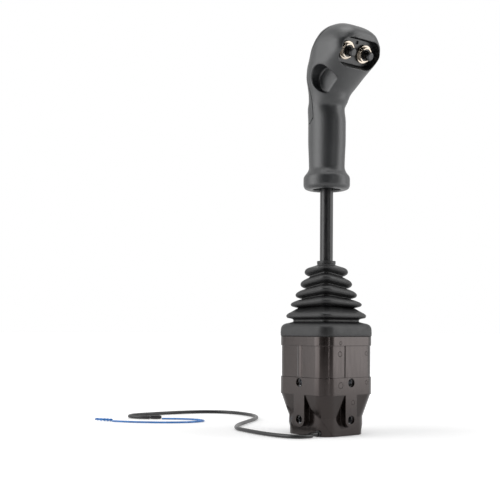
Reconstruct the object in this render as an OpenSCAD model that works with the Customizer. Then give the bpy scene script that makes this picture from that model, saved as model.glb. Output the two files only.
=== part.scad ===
// Two-axis push-pull cable joystick with a two-button grip.
// Origin: centre of the underside of the base. +Z runs up the lever, the grip faces +X.

/* [Base housing] */
// Width across the flats of the housing bands
band_w = 72; // [70:0.5:80]
// Corner radius of the housing bands
band_r = 14; // [11:0.5:18]
// Width across the flats of the lower prism
prism_w = 58; // [56:0.5:60]
// Corner radius of the lower prism
prism_r = 13; // [11:0.5:16]
// Wall thickness of the mouldings
wall = 3.2; // [2.6:0.1:3.6]
// Height where the corner taper starts
taper_z = 18; // [14:0.5:22]
// Height of the underside of the middle band
band_z = 40; // [38:0.5:43]
// Height of the split between the two housings
split_z = 57; // [56:0.5:60]
// Height of the underside of the top band
top_band_z = 88; // [84:0.5:90]
// Overall height of the housing
housing_h = 96.8; // [94:0.2:100]
// Depth of the side panels below the bands
panel_inset = 0.9; // [0.5:0.1:1.4]
// Width of the half-round ribs on the side faces
rib_w = 15; // [10:0.5:18]
// Thickness of the corner webs over the prism
web_t = 0.8; // [0.4:0.1:1.2]

/* [Mounting tongues] */
// Width of each tongue
tongue_w = 15; // [14:0.5:18]
// Height of the lower mounting holes
hole_z = 16; // [14:0.5:18]
// Spacing of the two mounting holes on a face
hole_pitch = 36; // [34:0.5:38]
// Diameter of the hole mouth
hole_d = 8.5; // [7:0.1:9]
// Diameter of the steel inserts
insert_d = 9.4; // [8.8:0.1:9.6]
// Core diameter of the thread in the inserts
insert_core_d = 6.8; // [5:0.1:7]
// Depth of the hole mouth above an insert
mouth_depth = 3; // [2:0.1:4]

/* [Pivot] */
// Height of the pivot centre
pivot_z = 72; // [70:0.5:76]
// Radius of the cable arms
arm_r = 20; // [19.5:0.1:20.5]
// Diameter of the cross trunnions
trunnion_d = 5; // [4:0.1:5.4]
// Half-gap between the ears of a fork
ear_gap = 8; // [7.5:0.1:8]
// Thickness of an ear
ear_t = 3.6; // [3:0.1:3.8]
// Half-width of an ear
ear_half = 5.5; // [5:0.1:5.5]
// Outer diameter of the bronze bushes in the ears
ear_bush_d = 7.5; // [7:0.1:8]
// Thickness of the bracket plate
plate_t = 4; // [3:0.1:4.6]
// Lever travel each way in degrees
tilt = 20; // [10:1:20]

/* [Push rods] */
// Diameter of a push rod
rod_d = 6; // [5:0.1:6.4]
// Height of the lower end of a push rod
rod_end_z = 14; // [13.5:0.1:15]
// Diameter of the ball on a drive pin
ball_d = 6.4; // [5.6:0.1:6.6]
// Diameter of a drive pin
drive_pin_d = 3.5; // [3:0.1:3.6]
// Height of the housing floor that guides the rods
floor_z = 22; // [21.5:0.1:23]
// Thickness of that floor
floor_t = 3; // [2:0.1:3.4]
// Wire diameter of the centring springs
spring_wire = 1.1; // [0.8:0.1:1.2]
// Thickness of the cable plate under the base
cable_plate_t = 5; // [4:0.1:5.4]
// Diameter of the cable conduit bores
conduit_d = 10.2; // [8:0.1:11]

/* [Lever] */
// Outer diameter of the lever tube
tube_d = 12; // [11:0.1:12.4]
// Bore of the lever tube
tube_bore = 8; // [6:0.1:9]
// Outer diameter of the black sleeve on the tube
sleeve_d = 13; // [12.8:0.1:13.4]
// Height of the grip's underside
grip_z = 243; // [238:0.5:250]

/* [Grip] */
// Diameter of the flange at the foot of the grip
flange_d = 46.4; // [44:0.2:50]
// Height of the flange
flange_h = 14; // [12:0.5:16]
// Opening in the underside of the flange
foot_bore_d = 28; // [26:0.5:30]
// Width of the handle
handle_w = 35.2; // [34:0.2:38]
// Depth of the handle front to back
handle_depth = 40; // [38:0.5:43]
// Width of the head
head_w = 59; // [57:0.5:61]
// Diameter of the round socket in the side of the head
socket_d = 25; // [20:0.5:26]
// Depth of the socket from the side of the head
socket_depth = 15; // [10:0.5:18]
// Gap along the seams of the grip
seam_gap = 0.3; // [0.2:0.05:0.4]

/* [Buttons] */
// Angle that the button panel faces down
panel_tilt = 26; // [20:1:30]
// Width of the window in the head
window_w = 50; // [48:0.5:51]
// Height of the window
window_h = 27; // [26:0.5:28]
// Depth of the window
window_depth = 10; // [8:0.5:11]
// Spacing of the two buttons
button_pitch = 23.4; // [22:0.2:25]
// Outer diameter of a threaded button bushing
bushing_d = 14; // [13:0.1:14.6]
// Bore of a button bushing
bushing_bore = 11.6; // [11.4:0.1:12]
// Height of a bushing over the panel
bushing_h = 5; // [3:0.1:6]
// Width of a button nut
nut_d = 17.4; // [16.4:0.2:18]
// Thickness of a button nut
nut_t = 2.2; // [1.5:0.1:2.8]
// Diameter of a plunger
plunger_d = 8.6; // [7:0.1:9]
// Height of a plunger over its collar
plunger_h = 8; // [5:0.1:9]
// Travel of a plunger
button_travel = 2.5; // [1:0.1:3]

/* [Gaiter] */
// Wall of the rubber gaiter
gaiter_t = 1.3; // [1:0.1:1.6]
// Lean of the upper pleats towards the back left corner, in degrees
gaiter_lean = 13; // [0:1:16]

/* [Cord] */
// Diameter of the black cord
cord_d = 4.1; // [3:0.1:4.4]
// Diameter of one blue lead
lead_d = 1.7; // [1:0.1:2]

/* [Hidden] */
$fn = 48;
// Radial clearance of a running fit, of parts that only sit together, and of loose neighbours
run_fit = 0.05;
seat_fit = 0.02;
loose = 0.3;
eps = 0.5;

band_s = band_w / 2;
prism_s = prism_w / 2;
prism_in_s = prism_s - wall;
upper_in_s = band_s - wall - panel_inset;
web_s = prism_s + web_t;
half_floor = floor_z + floor_t;

bracket_top = split_z - 3;
bracket_z = bracket_top - plate_t;
bracket_s = upper_in_s - loose;
corner_screw = band_s - 10.2;
corner_screw_d = 4;
corner_insert_d = 5.6;
plate_screw = 19.5;
plate_screw_d = 3;
pad_t = 2.6;
boss_half = 6.5;
corner_head_h = 2.6;
ear_out = ear_gap + ear_t;
trunnion_len = ear_out + 0.4;

// Angle in radians, and the travel that it gives at the arms
tilt_rad = tilt * PI / 180;
rod_travel = arm_r * tilt_rad;
bush_r = rod_d / 2 + 2;
bush_flange_r = bush_r + 1.4;
boss_in = arm_r + bush_flange_r + 0.5;
insert_in = boss_in + 0.2;
head_t = 4;
slot_half = ball_d / 2 + 0.95;
slot_in = arm_r - ball_d / 2 - arm_r * (1 - cos(tilt)) - 0.4;
slot_out = arm_r + ball_d / 2 + 0.4;
head_wall = 2;
head_half = slot_half + 3.3;
hub_z = pivot_z + 14;
hub_t = 6;
hub_r = 15;
boss_top = hub_z + hub_t + 12;
cheek_in = 8;
cheek_t = 3.5;
arm_end = arm_r + 4;
spring_r = rod_d / 2 + 1.6;
collar_t = 3;
collar_z = (bracket_z + half_floor - collar_t) / 2;

tube_r = tube_d / 2;
sleeve_r = sleeve_d / 2;
tube_top = grip_z + 62;

panel_pos = [46.7, 0, 368.9 - 243 + grip_z];
panel_t = 2.5;
panel_r = 11;
panel_screw_y = window_h / 2 - 4.6;
bushing_back = 9;
collar_drop = 0.8;
socket_pos = [17, 348 - 243 + grip_z];
cover_z = 313 - 243 + grip_z;

gaiter_top = 172;

// Route of the cord over the floor, from the base outwards: across, then along the cord's own heading
cord_heading = 50.8;
cord_route = [
    [-17, 43], [-29, 50], [-43, 44], [-60, 26], [-78, -2], [-89, -27], [-88, -57], [-80, -90], [-71, -122],
    [-68, -147], [-73, -172], [-87, -196], [-104, -211], [-123, -216], [-140, -214], [-165, -202], [-190, -185],
    [-208, -170], [-215, -157], [-212, -147], [-202, -140], [-190, -137.5]
];
lead_route = [
    [-176, -137], [-158, -136], [-142, -132], [-132, -123], [-129, -114], [-134, -104], [-147, -97], [-165, -94],
    [-180, -94], [-205, -98], [-228, -107]
];
splice_route = [[-229, -107.6], [-235, -111], [-242, -115], [-249, -120]];
lead_spread = 1;
shrink_d = 5;
cord_exit = [20, -prism_s];
cord_axis_z = 3.2;
grommet_r = 3.1;
grommet_flange = 1.2;

// ---- shared shapes

// Square with rounded corners, s from centre to flat
module rounded_square(s, r) {
    square([2 * s, 2 * (s - r)], center = true);
    square([2 * (s - r), 2 * s], center = true);
    for (x = [-1, 1], y = [-1, 1]) translate([x * (s - r), y * (s - r)]) circle(r);
}

module rounded_block(s, r, z0, z1) {
    translate([0, 0, z0]) linear_extrude(z1 - z0) rounded_square(s, r);
}

module rounded_plate(w, h, r, t) {
    linear_extrude(t) {
        square([w, h - 2 * r], center = true);
        square([w - 2 * r, h], center = true);
        for (x = [-1, 1], y = [-1, 1]) translate([x * (w / 2 - r), y * (h / 2 - r)]) circle(r);
    }
}

module ring(r_out, r_in, h) {
    difference() {
        cylinder(r = r_out, h = h);
        translate([0, 0, -eps]) cylinder(r = r_in, h = h + 2 * eps);
    }
}

// Child turned to each of the four faces, with its +X outwards
module each_face() {
    for (a = [0, 90, 180, 270]) rotate([0, 0, a]) children();
}

module each_corner(d) {
    for (x = [-d, d], y = [-d, d]) translate([x, y, 0]) children();
}

// Child drawn for the +X arm and turned to the -Y arm
module each_arm() {
    children();
    rotate([0, 0, -90]) children();
}

// Faces of a closed tube of rings, each ring with the same number of points
function tube_faces(rings, sides) = concat(
    [[for (j = [sides - 1:-1:0]) j]],
    [for (i = [0:rings - 2], j = [0:sides - 1])
        [i * sides + j, i * sides + (j + 1) % sides, (i + 1) * sides + (j + 1) % sides, (i + 1) * sides + j]],
    [[for (j = [0:sides - 1]) (rings - 1) * sides + j]]
);

function unit(v) = v / norm(v);

// Smooth curve through hand-set points: a point at t between p[i] and p[i + 1]
function curve_at(p, i, t) =
    let (a = p[max(i - 1, 0)], b = p[i], c = p[i + 1], d = p[min(i + 2, len(p) - 1)])
    0.5 * (2 * b + (c - a) * t + (2 * a - 5 * b + 4 * c - d) * t * t + (3 * b - a - 3 * c + d) * t * t * t);
function curve(p, steps) = concat(
    [for (i = [0:len(p) - 2], k = [0:steps - 1]) curve_at(p, i, k / steps)], [p[len(p) - 1]]
);

// Round tube of radius r along level or gently rising points
module swept_tube(path, r, sides) {
    n = len(path);
    points = [for (i = [0:n - 1])
        let (
            along = unit(path[min(i + 1, n - 1)] - path[max(i - 1, 0)]),
            side = unit(cross(along, [0, 0, 1])),
            up = cross(side, along)
        )
        for (j = [0:sides - 1]) path[i] + r * (cos(360 * j / sides) * side + sin(360 * j / sides) * up)
    ];
    polyhedron(points, tube_faces(n, sides), convexity = 6);
}

// ---- base housing

// Plane that trims the corner web of the quadrant x > 0, y > 0: its unit normal and its offset
web_normal = [0.365, -0.704, 0.609];
web_offset = -1.56;

// Frame on that plane, with +Z along the normal
function web_frame() =
    let (n = unit(web_normal), u = unit(cross([0, 1, 0], n)), v = cross(n, u), o = n * web_offset)
    [[u[0], v[0], n[0], o[0]], [u[1], v[1], n[1], o[1]], [u[2], v[2], n[2], o[2]], [0, 0, 0, 1]];

// The space past that plane, mirrored to all four corners
module web_limits() {
    for (sx = [0, 1], sy = [0, 1]) mirror([sx, 0, 0]) mirror([0, sy, 0]) intersection() {
        cube(band_w);
        multmatrix(web_frame()) translate([-150, -150, 0]) cube([300, 300, 150]);
    }
}

// Pockets beside a tongue that show the prism's own wall
module tongue_pockets(points) {
    for (side = [0, 1]) mirror([0, side, 0]) translate([prism_s - eps, 0, 0]) rotate([90, 0, 90])
        linear_extrude(20) polygon(points);
}

module corner_webs() {
    intersection() {
        union() {
            hull() {
                rounded_block(web_s, prism_r + web_t, taper_z, taper_z + 0.01);
                rounded_block(band_s - 0.8, band_r - 0.8, band_z, band_z + 0.01);
            }
            rounded_block(web_s, prism_r + web_t, 0, taper_z);
        }
        web_limits();
    }
}

module trimmed_webs() {
    half = tongue_w / 2;
    difference() {
        corner_webs();
        for (a = [0, 180]) rotate([0, 0, a])
            tongue_pockets([[0, band_z - 1], [half, band_z - 1], [half + 6.5, hole_z], [half, hole_z - 8], [0, hole_z - 8]]);
        for (a = [90, 270]) rotate([0, 0, a])
            tongue_pockets([[0, band_z - 1], [half, band_z - 1], [half + 4.5, hole_z + 10], [half + 4.5, hole_z - 4],
                [half, hole_z - 8], [0, hole_z - 8]]);
    }
}

module tongue() {
    translate([0, 0, hole_z]) rotate([0, 90, 0]) {
        cylinder(d = tongue_w, h = band_s);
        translate([-(band_z - hole_z + 2), -tongue_w / 2, 0]) cube([band_z - hole_z + 2, tongue_w, band_s]);
    }
}

module mount_hole() {
    for (k = [0, 1]) translate([0, 0, hole_z + k * hole_pitch]) rotate([0, 90, 0]) {
        translate([0, 0, insert_in - 8]) cylinder(d = insert_core_d + 0.4, h = 9);
        translate([0, 0, insert_in]) cylinder(d = insert_d + 2 * seat_fit, h = band_s - mouth_depth - insert_in);
        translate([0, 0, insert_in]) cylinder(d = hole_d, h = band_s);
    }
}

// Block behind an upper mounting hole, where the bracket plate is notched
module hole_boss() {
    translate([boss_in, -boss_half, bracket_z - 1])
        cube([upper_in_s + 1 - boss_in, 2 * boss_half, split_z - bracket_z + 1]);
}

// Posts in the corners of the cable room, for the cable plate's screws
module plate_posts() {
    intersection() {
        each_corner(plate_screw) translate([0, 0, cable_plate_t + seat_fit]) cylinder(r = 4.5, h = floor_z);
        rounded_block(prism_in_s + eps, prism_r - wall + eps, 0, floor_z + eps);
    }
}

module lower_housing() color("#17140f") {
    difference() {
        union() {
            difference() {
                union() {
                    rounded_block(prism_s, prism_r, 0, band_z + 1);
                    trimmed_webs();
                    each_face() tongue();
                    rounded_block(band_s, band_r, band_z, split_z);
                }
                // room for the cables under the floor, for the springs over it, and for the bracket
                rounded_block(prism_in_s, prism_r - wall, -eps, floor_z);
                rounded_block(prism_in_s, prism_r - wall, half_floor, bracket_z + eps);
                rounded_block(upper_in_s, band_r - wall, bracket_z, split_z + eps);
            }
            each_face() hole_boss();
            plate_posts();
        }
        each_arm() translate([arm_r, 0, floor_z - eps]) cylinder(d = rod_d + 4 * run_fit, h = floor_t + 2 * eps);
        each_face() mount_hole();
        each_corner(corner_screw) translate([0, 0, bracket_z - 9])
            cylinder(d = corner_insert_d + 2 * seat_fit, h = 10);
        each_corner(plate_screw) cylinder(d = plate_screw_d + 2 * seat_fit, h = floor_z - 2);
        translate([cord_exit[0], cord_exit[1] - eps, cord_axis_z]) rotate([-90, 0, 0])
            cylinder(r = grommet_r - 0.6, h = wall + 2 * eps);
    }
}

module half_round_rib() {
    // half-round rib with the same crown as the bands
    rib_r = rib_w / 2;
    translate([band_s - rib_r, 0, split_z]) cylinder(r = rib_r, h = top_band_z - split_z + 1);
}

module upper_housing() color("#17140f") {
    difference() {
        union() {
            rounded_block(band_s, band_r, top_band_z, housing_h);
            rounded_block(band_s - panel_inset, band_r - panel_inset, split_z, top_band_z + eps);
            for (a = [90, 270]) rotate([0, 0, a]) intersection() {
                half_round_rib();
                rounded_block(band_s, band_r, split_z, top_band_z + 1);
            }
            // raised field beside the recessed strip on the front and rear faces
            for (a = [0, 180]) rotate([0, 0, a])
                translate([0, -8, split_z]) cube([band_s - 0.25, band_s - band_r + 8, top_band_z - split_z + 1]);
            // pads that clamp the bracket plate
            intersection() {
                each_corner(corner_screw) translate([0, 0, bracket_top]) cylinder(r = 6, h = split_z - bracket_top + eps);
                rounded_block(bracket_s, band_r - wall - loose, bracket_top, split_z + eps);
            }
        }
        rounded_block(upper_in_s, band_r - wall, split_z + pad_t, housing_h + eps);
        rounded_block(upper_in_s - 5, 16, split_z - eps, split_z + pad_t + eps);
        each_corner(corner_screw) translate([0, 0, bracket_top - eps]) cylinder(d = corner_screw_d + 0.6, h = 8);
    }
}

module cable_plate() color("#26262a") {
    difference() {
        rounded_block(prism_in_s - seat_fit, prism_r - wall - seat_fit, 0, cable_plate_t);
        each_arm() translate([arm_r, 0, -eps]) cylinder(d = conduit_d, h = cable_plate_t + 2 * eps);
        each_corner(plate_screw) {
            translate([0, 0, -eps]) cylinder(d = plate_screw_d + 0.4, h = cable_plate_t + 2 * eps);
            translate([0, 0, -eps]) cylinder(d = 6.4, h = eps + 2.4);
        }
    }
}

module plate_screws() color("silver") {
    each_corner(plate_screw) {
        translate([0, 0, 0.4]) difference() {
            cylinder(d = 5.8, h = 2);
            translate([0, 0, -eps]) cylinder(d = 2.6, h = eps + 1.2, $fn = 6);
        }
        translate([0, 0, 1]) cylinder(d = plate_screw_d, h = 13);
    }
}

module housing_screws() color("silver") {
    each_corner(corner_screw) {
        translate([0, 0, split_z + pad_t]) difference() {
            cylinder(d = 7, h = corner_head_h);
            translate([0, 0, corner_head_h - 1.6]) cylinder(d = 3.4, h = 2, $fn = 6);
        }
        translate([0, 0, bracket_z - 8]) cylinder(d = corner_screw_d, h = split_z + pad_t + 0.2 - bracket_z + 8);
    }
}

module thread_inserts() color("#b08d45") {
    each_corner(corner_screw) translate([0, 0, bracket_z - 8.8])
        ring(corner_insert_d / 2, corner_screw_d / 2 + seat_fit, 8.7);
}

module mount_inserts() color("silver") {
    each_face() for (k = [0, 1])
        translate([insert_in, 0, hole_z + k * hole_pitch]) rotate([0, 90, 0])
            ring(insert_d / 2, insert_core_d / 2, band_s - mouth_depth - insert_in - seat_fit);
}
// ---- pivot and push rods

module ear(z0) {
    // one ear with its eye at the pivot, standing on or hanging from z0
    rotate([0, 90, 0]) cylinder(r = ear_half, h = ear_t);
    low = min(z0, 0);
    translate([0, -ear_half, low]) cube([ear_t, 2 * ear_half, abs(z0)]);
}

module eye_cut() {
    for (a = [0, 180]) rotate([0, 0, a]) translate([ear_gap - eps, 0, 0]) rotate([0, 90, 0])
        cylinder(d = ear_bush_d, h = ear_t + 2 * eps);
}

module pivot_bracket() color("#9a9ca0") {
    difference() {
        union() {
            rounded_block(bracket_s, band_r - wall - loose, bracket_z, bracket_top);
            translate([0, 0, pivot_z]) for (a = [0, 180]) rotate([0, 0, a])
                translate([ear_gap, 0, 0]) ear(bracket_top - pivot_z);
        }
        translate([0, 0, pivot_z]) eye_cut();
        each_arm() translate([arm_r, 0, bracket_z - eps]) cylinder(r = bush_r, h = plate_t + 2 * eps);
        each_face() translate([boss_in - loose, -boss_half - loose, bracket_z - eps])
            cube([20, 2 * (boss_half + loose), plate_t + 2 * eps]);
        each_corner(corner_screw) translate([0, 0, bracket_z - eps])
            cylinder(d = corner_screw_d + 0.5, h = plate_t + 2 * eps);
        for (a = [90, 180]) rotate([0, 0, a]) translate([arm_r, 0, bracket_z - eps])
            cylinder(r = 5, h = plate_t + 2 * eps);
    }
}

module eye_bushes() {
    translate([0, 0, pivot_z]) for (a = [0, 180]) rotate([0, 0, a]) translate([ear_gap, 0, 0]) rotate([0, 90, 0])
        ring(ear_bush_d / 2 - seat_fit, trunnion_d / 2 + run_fit, ear_t);
}

module bracket_bushes() color("#b07a3c") eye_bushes();

module rod_bushes() color("#b07a3c") {
    each_arm() translate([arm_r, 0, 0]) {
        translate([0, 0, bracket_z - 1]) ring(bush_r - seat_fit, rod_d / 2 + run_fit, plate_t + 1.5);
        translate([0, 0, bracket_top + seat_fit]) ring(bush_flange_r, rod_d / 2 + run_fit, 1);
    }
}

module pivot_cross() color("#85878b") {
    body_half = ear_gap - loose;
    translate([0, 0, pivot_z]) {
        intersection() {
            cube(2 * body_half, center = true);
            rotate([0, 0, 45]) cube([3 * ear_gap - 6, 3 * ear_gap - 6, 11], center = true);
        }
        for (a = [0, 90]) rotate([0, 0, a]) rotate([0, 90, 0])
            cylinder(d = trunnion_d, h = 2 * trunnion_len, center = true);
    }
}

module push_rod() {
    difference() {
        union() {
            translate([slot_in - head_wall, -head_t / 2, pivot_z - head_half])
                cube([slot_out - slot_in + 2 * head_wall, head_t, 2 * head_half]);
            translate([arm_r, 0, pivot_z - head_half - 2]) cylinder(r = rod_d / 2 + 0.6, h = 2.5);
            translate([arm_r, 0, rod_end_z]) cylinder(d = rod_d, h = pivot_z - head_half - rod_end_z);
            translate([arm_r, 0, collar_z]) cylinder(r = spring_r + spring_wire, h = collar_t);
        }
        translate([0, 0, pivot_z]) rotate([90, 0, 0]) {
            for (x = [slot_in + slot_half - 0.6, slot_out - slot_half + 0.6])
                translate([x, 0, -head_t]) cylinder(r = slot_half, h = 2 * head_t);
        }
        translate([arm_r, 0, rod_end_z - eps]) cylinder(d = 4.2, h = 10 + eps);
    }
}

module push_rod_x() color("#a9abae") push_rod();
module push_rod_y() color("#a9abae") rotate([0, 0, -90]) push_rod();

module coil(z0, z1) {
    turns = 3.5;
    steps = 10;
    low = z0 + spring_wire / 2 + 0.05;
    rise = z1 - z0 - spring_wire - 0.1;
    path = [for (i = [0:turns * steps])
        let (t = i / (turns * steps))
        [spring_r * cos(360 * turns * t), spring_r * sin(360 * turns * t), low + rise * t]];
    swept_tube(path, spring_wire / 2, 6);
}

module upper_spring() translate([arm_r, 0, 0]) coil(collar_z + collar_t, bracket_z - 1);
module lower_spring() translate([arm_r, 0, 0]) coil(half_floor, collar_z);
module spring_x_upper() color("#77797c") upper_spring();
module spring_x_lower() color("#77797c") lower_spring();
module spring_y_upper() color("#77797c") rotate([0, 0, -90]) upper_spring();
module spring_y_lower() color("#77797c") rotate([0, 0, -90]) lower_spring();

// ---- lever

module arm() {
    // beam with two cheeks that hold the drive pin
    translate([0, -(cheek_in + cheek_t), hub_z]) cube([arm_end, 2 * (cheek_in + cheek_t), hub_t]);
    for (y = [-cheek_in - cheek_t, cheek_in]) translate([arm_r, y, 0]) {
        translate([0, 0, pivot_z]) rotate([-90, 0, 0]) cylinder(r = 4, h = cheek_t);
        translate([-4, 0, pivot_z]) cube([8, cheek_t, hub_z - pivot_z + 1]);
    }
}

module lever_fork() color("#8e9094") {
    difference() {
        union() {
            translate([0, 0, hub_z]) cylinder(r = hub_r, h = hub_t);
            translate([0, 0, hub_z]) cylinder(r = tube_r + 3.5, h = boss_top - hub_z);
            each_arm() arm();
            translate([0, 0, pivot_z]) rotate([0, 0, 90]) for (a = [0, 180]) rotate([0, 0, a])
                translate([ear_gap, 0, 0]) ear(hub_z - pivot_z + 1);
        }
        translate([0, 0, pivot_z]) rotate([0, 0, 90]) eye_cut();
        translate([0, 0, hub_z + 2]) cylinder(r = tube_r + seat_fit, h = boss_top);
        translate([0, 0, hub_z - eps]) cylinder(d = tube_bore, h = 4);
        each_arm() translate([arm_r, -20, pivot_z]) rotate([-90, 0, 0])
            cylinder(d = drive_pin_d + 2 * seat_fit, h = 40);
        translate([-20, 0, boss_top - 6]) rotate([0, 90, 0]) cylinder(d = 3 + 2 * seat_fit, h = 40);
    }
}

module fork_bushes() color("#b07a3c") rotate([0, 0, 90]) eye_bushes();

module drive_pins() color("#c4c6c9") {
    each_arm() translate([arm_r, 0, pivot_z]) {
        sphere(d = ball_d);
        rotate([90, 0, 0]) cylinder(d = drive_pin_d, h = 2 * (cheek_in + cheek_t), center = true);
    }
}

module lever_tube() color("#3c3d40") {
    difference() {
        translate([0, 0, hub_z + 2]) ring(tube_r, tube_bore / 2, tube_top - hub_z - 2);
        translate([-20, 0, boss_top - 6]) rotate([0, 90, 0]) cylinder(d = 3 + 2 * seat_fit, h = 40);
    }
}

module tube_pin() color("silver") {
    translate([-tube_r - 3.4, 0, boss_top - 6]) rotate([0, 90, 0]) ring(1.5, 0.8, 2 * tube_r + 6.8);
}

module rod_sleeve() color("#121212") {
    translate([0, 0, boss_top + 0.2]) ring(sleeve_r, tube_r + seat_fit, grip_z + 4 - boss_top);
}

module jam_nut() color("#55565a") {
    translate([0, 0, grip_z + 5]) difference() {
        cylinder(r = 11, h = 6, $fn = 6);
        translate([0, 0, -eps]) cylinder(r = tube_r + seat_fit, h = 7);
    }
}

// ---- grip

// Each station: height over the grip's foot, centre line, depth behind it, depth ahead of it,
// half-width, fullness of the corners ahead
handle_stations = [
    [22, 0, 18.7, 18.7, 17, 2], [34, 0, 19.2, 19.2, 17.2, 2], [50, 0, 20, 20, 17.6, 2], [68, 0, 20, 20, 17.6, 2]
];
head_stations = [
    [81, -1, 19, 18.4, 18.2, 2], [87, 0.6, 18.1, 20.5, 19.2, 2.05], [94, 1.5, 17.2, 22.3, 21.2, 2.1],
    [102, 5, 21, 26.9, 24.4, 2.2], [109, 7.5, 24.3, 31.1, 26.8, 2.4], [115, 11, 27.4, 33.5, 28.3, 2.7],
    [121, 14.5, 29.5, 33.8, 29.5, 3.6], [128, 17.5, 29.1, 34.2, 30.2, 4.6], [135, 18.5, 26.9, 33.6, 30.3, 4.6],
    [141, 19, 21.8, 34.1, 29.6, 3.5], [146, 20, 18, 32.2, 27.7, 3.1], [150, 20.5, 15.3, 28, 25, 3],
    [154, 22, 12, 20.5, 20.5, 2.8], [157, 22, 8.5, 13.5, 14.5, 2.4], [159.2, 21.5, 5.5, 8.5, 9, 2.2],
    [160.4, 21, 3, 4.5, 5, 2]
];

function round_station(z, r) = [z, 0, r, r, r, 2];
function scaled(st, deep, wide) = [st[0], st[1], st[2] * deep, st[3] * deep, st[4] * wide, st[5]];
function grip_stations() =
    let (r = flange_d / 2, deep = handle_depth / 40)
    concat(
        [round_station(0, r - 4.4), round_station(1.3, r - 1.4), round_station(4.4, r),
         round_station(flange_h - 2.4, r), round_station(flange_h, r - 1), round_station(flange_h + 3, r - 3.4)],
        [for (st = handle_stations) scaled(st, deep, handle_w / 35.2)],
        [for (st = head_stations) scaled(st, deep, head_w / 59)]
    );

function signed_power(c, e) = sign(c) * pow(abs(c), e);

// One ring of the grip: an ellipse behind the centre line, a fuller curve ahead of it
function grip_ring(st, sides) = [for (j = [0:sides - 1])
    let (a = 360 * j / sides, ahead = cos(a) > 0, e = ahead ? 2 / st[5] : 1)
    [st[1] + (ahead ? st[3] : st[2]) * signed_power(cos(a), e), st[4] * signed_power(sin(a), e), grip_z + st[0]]];

module grip_solid() {
    sides = 40;
    stations = grip_stations();
    points = [for (st = stations) each grip_ring(st, sides)];
    polyhedron(points, tube_faces(len(stations), sides), convexity = 4);
}

// Child drawn in the panel's own frame: +Z out of the window, +X along the head's width
module on_panel(out = 0) {
    translate(panel_pos) rotate([0, 90 + panel_tilt, 0]) rotate([0, 0, 90]) translate([0, 0, out]) children();
}

// Space behind the cover's seam plane
module cover_space(gap) {
    translate([0, 40, 0]) rotate([90, 0, 0]) linear_extrude(80) polygon([
        [-1 - gap, cover_z + gap], [-7, cover_z - 4.5 + gap], [-60, cover_z - 4.5 + gap],
        [-60, cover_z + 157], [82 - gap, cover_z + 143 + gap], [22 - gap, cover_z + 78.6 + gap],
        [-4.5 - gap, cover_z + 49], [-1.5 - gap, cover_z + 23]
    ]);
}

module grip_shell() color("#2b2c2e") {
    difference() {
        difference() {
            grip_solid();
            cover_space(0);
        }
        on_panel(-window_depth) rounded_plate(window_w, window_h, panel_r, 40);
        on_panel(-window_depth - panel_t - loose) rounded_plate(window_w - 3, window_h - 3, panel_r - 1.5, 6);
        on_panel(-window_depth - 16) rounded_plate(40, 18, 8.9, 16);
        translate([socket_pos[0], -head_w / 2 - 1, socket_pos[1]]) rotate([-90, 0, 0])
            cylinder(d = socket_d, h = socket_depth + 1);
        translate([0, 0, grip_z - eps]) cylinder(d = foot_bore_d, h = 12 + eps);
        translate([0, 0, grip_z]) cylinder(r = tube_r + seat_fit, h = tube_top - grip_z + 0.2);
        at_cover_screw() cylinder(d = cover_screw_d + 2 * seat_fit, h = cover_screw_len + 0.5);
        on_panel(-window_depth - panel_t - 4) translate([0, panel_screw_y, 0])
            cylinder(d = cover_screw_d + 2 * seat_fit, h = 6);
    }
}

module rear_cover() color("#2b2c2e") {
    difference() {
        intersection() {
            grip_solid();
            cover_space(seam_gap);
        }
        cover_screw_holes(cover_screw_d + 0.4);
    }
}

// Screw places on the rear cover: height over the foot, and the depth of the grip there
cover_screw_places = [[84, 17.5], [128, 9]];
cover_screw_d = 3;
cover_screw_len = 25;

module at_cover_screw() {
    for (p = cover_screw_places) translate([-p[1], 0, grip_z + p[0]]) rotate([0, 90, 0]) children();
}

module cover_screw_holes(d) {
    at_cover_screw() {
        translate([0, 0, -8]) cylinder(r = cover_screw_d, h = 11);
        cylinder(d = d, h = cover_screw_len);
    }
}

module cover_screws() color("silver") {
    at_cover_screw() {
        translate([0, 0, 0.8]) difference() {
            cylinder(r = cover_screw_d - 0.2, h = 2.2);
            translate([0, 0, -eps]) cylinder(d = 2.4, h = eps + 1.2, $fn = 6);
        }
        translate([0, 0, 2]) cylinder(d = cover_screw_d, h = cover_screw_len - 2);
    }
}

module button_panel() color("#1d1d1f") {
    on_panel(-window_depth - panel_t) difference() {
        rounded_plate(window_w - 3.1, window_h - 3.1, panel_r - 1.6, panel_t);
        for (x = [-1, 1]) translate([x * button_pitch / 2, 0, -eps])
            cylinder(d = bushing_d + 2 * seat_fit, h = panel_t + 2 * eps);
        translate([0, panel_screw_y, -eps]) cylinder(d = 3.6, h = panel_t + 2 * eps);
    }
}

module panel_screw() color("#77797c") {
    on_panel(-window_depth - panel_t - 3) translate([0, panel_screw_y, 0]) cylinder(d = cover_screw_d, h = panel_t + 2);
}

module on_button(side, out = 0) {
    on_panel(-window_depth + out) translate([side * button_pitch / 2, 0, 0]) children();
}

module bushing(side) {
    on_button(side, -bushing_back) ring(bushing_d / 2, bushing_bore / 2, bushing_back + bushing_h);
}
module bushing_left() color("#d9dadc") bushing(1);
module bushing_right() color("#d9dadc") bushing(-1);

module button_nuts() color("#d9dadc") {
    for (side = [-1, 1]) on_button(side, seat_fit) ring(nut_d / 2, bushing_d / 2 + seat_fit, nut_t);
}

// Switch body: fills the bushing up to its collar, with a guide bore for the plunger
module switch_body(side) {
    deep = button_travel + 3.4;
    on_button(side, -bushing_back) difference() {
        cylinder(r = bushing_bore / 2 - seat_fit, h = bushing_back + bushing_h - collar_drop);
        translate([0, 0, bushing_back + bushing_h - collar_drop - deep - 2])
            cylinder(r = plunger_d / 2 + run_fit, h = 40);
    }
}
module switch_left() color("#141414") switch_body(1);
module switch_right() color("#141414") switch_body(-1);

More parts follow.
